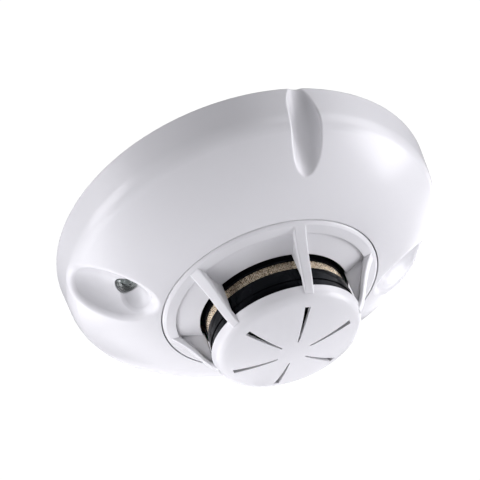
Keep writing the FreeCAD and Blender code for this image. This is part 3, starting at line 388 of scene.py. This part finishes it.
def bead_epoxy():
    """The glossy dark bead of dipped epoxy round a thermistor."""
    material = new_material("bead_epoxy", (0.02, 0.03, 0.028), 0.15, Coat_Weight=0.6)
    vary_colour(material, noise(material, 0.0009), (0.015, 0.022, 0.02), (0.035, 0.05, 0.045))
    bump(material, noise(material, 0.0007), 0.00002)
    return material


def capacitor_can():
    """A dark sleeve shrunk over an aluminium can whose end shows."""
    material = new_material("capacitor_can", (0.02, 0.03, 0.08), 0.3)
    nodes, links = material.node_tree.nodes, material.node_tree.links
    facing = nodes.new("ShaderNodeNewGeometry")
    split = nodes.new("ShaderNodeSeparateXYZ")
    flat = nodes.new("ShaderNodeMath")
    flat.operation = "ABSOLUTE"
    links.new(facing.outputs["Normal"], split.inputs["Vector"])
    links.new(split.outputs["Z"], flat.inputs[0])
    vary_colour(material, flat.outputs["Value"], (0.015, 0.022, 0.07), (0.66, 0.66, 0.67), 0.9, 0.93)
    links.new(flat.outputs["Value"], shader_of(material).inputs["Metallic"])
    vary_roughness(material, noise(material, 0.001), 0.24, 0.4)
    bump(material, noise(material, 0.002), 0.00002)
    return material


def ceramic_tan():
    material = new_material("ceramic_tan", (0.45, 0.33, 0.2), 0.5)
    vary_colour(material, noise(material, 0.0005, 4), (0.40, 0.29, 0.17), (0.52, 0.39, 0.25))
    vary_roughness(material, noise(material, 0.0004), 0.4, 0.6)
    bump(material, noise(material, 0.00015, 3), 0.000008)
    return material


def reed_glass():
    """The green-tinted glass tube of a reed switch."""
    material = new_material("reed_glass", (0.62, 0.78, 0.66), 0.04, Transmission_Weight=0.9, IOR=1.5)
    vary_colour(material, noise(material, 0.002), (0.55, 0.72, 0.6), (0.68, 0.82, 0.72))
    bump(material, noise(material, 0.0012), 0.000008)
    return material


def make_materials():
    """Every finish, by the record's material slot."""
    return {
        "cover_white": cover_white(),
        "base_white": base_white(),
        "board_green": board_green(),
        "clear_lens": clear_lens(),
        "tinned_wire": metal("tinned_wire", (0.66, 0.66, 0.67), (0.78, 0.78, 0.80), 0.3, 0.0002),
        "chamber_black": chamber_black(),
        "tinted_epoxy": tinted_epoxy(),
        "black_epoxy": moulded_epoxy(),
        "screen_bronze": metal("screen_bronze", (0.58, 0.47, 0.34), (0.80, 0.70, 0.55), 0.26, 0.0002),
        "bead_epoxy": bead_epoxy(),
        "capacitor_can": capacitor_can(),
        "ceramic_tan": ceramic_tan(),
        "reed_glass": reed_glass(),
        "contact_metal": metal("contact_metal", (0.72, 0.66, 0.50), (0.80, 0.76, 0.64), 0.3, 0.0003,
                               (1, 1, 8)),
        "zinc_steel": metal("zinc_steel", (0.58, 0.60, 0.62), (0.70, 0.71, 0.73), 0.32, 0.0003),
    }


def dress_nodes(materials):
    """Gives every CAD node the finish of its slot."""
    for subpart in frame["record"]["subparts"]:
        node = frame["nodes"][subpart["node"]]
        for slot in node.material_slots:
            slot.material = materials[subpart["material_slot"]]


# ---------------------------------------------------------------- pieces


def new_piece(name, points, faces, material, body):
    """A smooth-shaded mesh piece that rides on a body."""
    mesh = bpy.data.meshes.new(name)
    mesh.from_pydata(points, [], faces)
    mesh.materials.append(material)
    mesh.shade_smooth()
    mesh.update()
    piece = add_to_scene(bpy.data.objects.new(name, mesh))
    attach(piece, body)
    return piece


def add_tube(points, faces, path, radius, sides, closed):
    """Adds a tube along a path of (point, normal, side) frames to a point and face list."""
    start = len(points)
    for centre, normal, side in path:
        for i in range(sides):
            angle = 2 * math.pi * i / sides
            points.append(centre + normal * (math.cos(angle) * radius) + side * (math.sin(angle) * radius))
    rings = len(path)
    for i in range(rings if closed else rings - 1):
        here, there = start + i * sides, start + (i + 1) % rings * sides
        for j in range(sides):
            k = (j + 1) % sides
            faces.append((here + j, here + k, there + k, there + j))
    if not closed:
        faces.append(tuple(start + j for j in reversed(range(sides))))
        last = start + (rings - 1) * sides
        faces.append(tuple(last + j for j in range(sides)))


def woven_screen(materials):
    """The insect screen as woven wire: uprights and hoops that pass over and under each other."""
    low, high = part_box("insect_screen")
    outer = high[0]
    radius = outer - SCREEN_WIRE_R - SCREEN_WAVE
    bottom, top = low[2] + SCREEN_WIRE_R, high[2] - SCREEN_WIRE_R
    uprights = 2 * round(math.pi * radius / SCREEN_PITCH)
    hoops = round((top - bottom) / SCREEN_PITCH) + 1
    step = 2 * math.pi / uprights
    rise = (top - bottom) / (hoops - 1)
    points, faces = [], []
    for hoop in range(hoops):
        z = bottom + rise * hoop
        path = []
        for half in range(2 * uprights):
            angle = step * half / 2
            sign = 1 if hoop % 2 else -1
            wave = sign * SCREEN_WAVE * math.cos(math.pi * half / 2)
            out = Vector((math.cos(angle), math.sin(angle), 0))
            path.append((out * (radius + wave) + Vector((0, 0, z)), out, Vector((0, 0, 1))))
        add_tube(points, faces, path, SCREEN_WIRE_R, WIRE_SIDES, True)
    for upright in range(uprights):
        angle = step * upright
        out = Vector((math.cos(angle), math.sin(angle), 0))
        along = Vector((-out.y, out.x, 0))
        sign = 1 if upright % 2 else -1
        path = []
        for half in range(2 * hoops - 1):
            wave = sign * SCREEN_WAVE * math.cos(math.pi * half / 2)
            path.append((out * (radius + wave) + Vector((0, 0, bottom + rise * half / 2)), out, along))
        add_tube(points, faces, path, SCREEN_WIRE_R, WIRE_SIDES, False)
    piece = new_piece("woven_screen", points, faces, materials["screen_bronze"], "head")
    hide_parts("insect_screen")


def light_place(side):
    """The middle of a status light's lens and the way it points, from the CAD lens's box."""
    low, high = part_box("status_light_right" if side > 0 else "status_light_left")
    x = high[0] - LENS_R if side > 0 else low[0] + LENS_R
    axis = Vector((side * math.sin(LIGHT_TILT), 0, -math.cos(LIGHT_TILT)))
    return Vector((x, 0, low[2] + LENS_R)), axis


def plate(points, faces, outline, place, thick):
    """Adds a flat plate cut to an outline of (across, ahead) points, set in place by a function."""
    start, count = len(points), len(outline)
    points += [place(a, b, s * thick / 2) for s in (-1, 1) for a, b in outline]
    faces.append(tuple(start + i for i in reversed(range(count))))
    faces.append(tuple(start + count + i for i in range(count)))
    for i in range(count):
        j = (i + 1) % count
        faces.append((start + i, start + j, start + count + j, start + count + i))


def turned(points, faces, profile, place, sides):
    """Adds a solid of revolution from a closed (radius, ahead) profile."""
    start, count = len(points), len(profile)
    for i in range(sides):
        angle = 2 * math.pi * i / sides
        points += [place(r * math.cos(angle), b, r * math.sin(angle)) for r, b in profile]
    for i in range(sides):
        here, there = start + i * count, start + (i + 1) % sides * count
        for j in range(count):
            k = (j + 1) % count
            faces.append((here + j, here + k, there + k, there + j))


def light_insides(side, materials):
    """The lead frame in a lens: an anvil with its reflector cup, a post, the chip and its bond wire."""
    middle, axis = light_place(side)
    across = Vector((0, 1, 0))
    third = axis.cross(across)

    def place(a, b, c):
        return middle + across * a + axis * b + third * c

    mm = 0.001
    back = LEAD_FRAME_BACK
    points, faces = [], []
    anvil = [(1.6 * mm, back), (1.6 * mm, -1.25 * mm), (0.75 * mm, -0.95 * mm), (-0.6 * mm, -0.95 * mm),
             (-0.6 * mm, -1.35 * mm), (0.55 * mm, -1.9 * mm), (0.95 * mm, back)]
    post = [(-0.95 * mm, back), (-0.95 * mm, -1.2 * mm), (-0.75 * mm, -0.35 * mm), (-1.35 * mm, -0.35 * mm),
            (-1.6 * mm, -1.2 * mm), (-1.6 * mm, back)]
    plate(points, faces, anvil, place, LEAD_FRAME_THICK)
    plate(points, faces, post, place, LEAD_FRAME_THICK)
    cup = [(0.0, -1.02 * mm), (0.62 * mm, -1.02 * mm), (0.95 * mm, -0.38 * mm), (0.86 * mm, -0.38 * mm),
           (0.42 * mm, -0.82 * mm), (0.0, -0.82 * mm)]
    turned(points, faces, cup, place, 32)
    word = "right" if side > 0 else "left"
    piece = new_piece("light_frame_" + word, points, faces, materials["tinned_wire"], "head")
    piece.data.shade_flat()

    points, faces = [], []
    half = 0.17 * mm
    chip = [(-half, -0.82 * mm), (half, -0.82 * mm), (half, -0.64 * mm), (-half, -0.64 * mm)]
    plate(points, faces, chip, place, 2 * half)
    piece = new_piece("light_chip_" + word, points, faces, materials["tinted_epoxy"], "head")
    piece.data.shade_flat()

    points, faces, path = [], [], []
    for i in range(13):
        share = i / 12
        a = -1.05 * mm * share
        b = -0.64 * mm + 0.30 * mm * share + 0.45 * mm * math.sin(math.pi * share)
        slope = Vector((-1.05, 0.30 + 0.45 * math.pi * math.cos(math.pi * share))).normalized()
        normal = across * -slope.y + axis * slope.x
        path.append((place(a, b, 0), normal, third))
    add_tube(points, faces, path, BOND_WIRE_R, 6, False)
    piece = new_piece("bond_wire_" + word, points, faces, materials["contact_metal"], "head")


bpy.context.scene.view_settings.view_transform = "Standard"
add_camera()
add_world()
for softbox in SOFTBOXES:
    add_softbox(*softbox)
add_top_light()
add_floor()
finishes = make_materials()
dress_nodes(finishes)
woven_screen(finishes)
for side in (-1, 1):
    light_insides(side, finishes)
